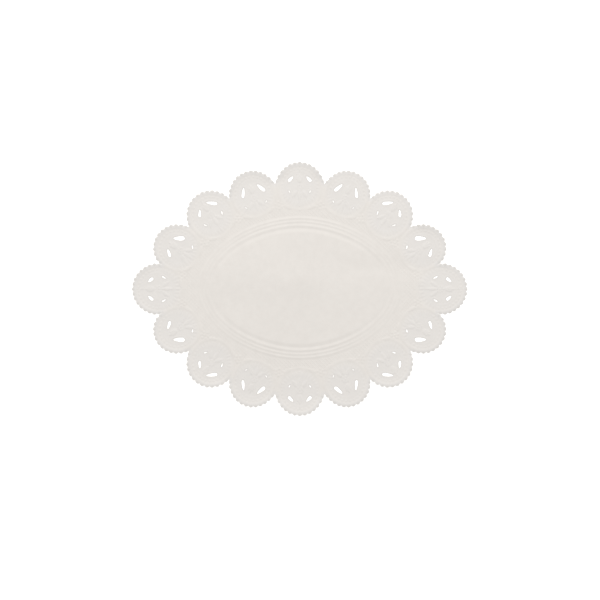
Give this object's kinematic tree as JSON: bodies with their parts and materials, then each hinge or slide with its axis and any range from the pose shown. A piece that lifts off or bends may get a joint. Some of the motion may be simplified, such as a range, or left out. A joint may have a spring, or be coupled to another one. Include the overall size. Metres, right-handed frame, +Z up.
{
  "type": "paper lace doily",
  "caption": "Flat oval paper lace doily with a plain raised middle, embossed rings, a scalloped toothed edge and leaf-shaped openings.",
  "frame": {"origin": "middle of the flat underside, on the surface that the doily lies on", "axes": "+X along the doily's length, +Y along its width, +Z up out of its embossed face"},
  "size_m": [0.2524, 0.1912, 0.0029],
  "materials": {
    "paper": "matt bleached paper, die-cut and embossed"
  },
  "bodies": {
    "root": {"doily": "paper"}
  },
  "joints": []
}
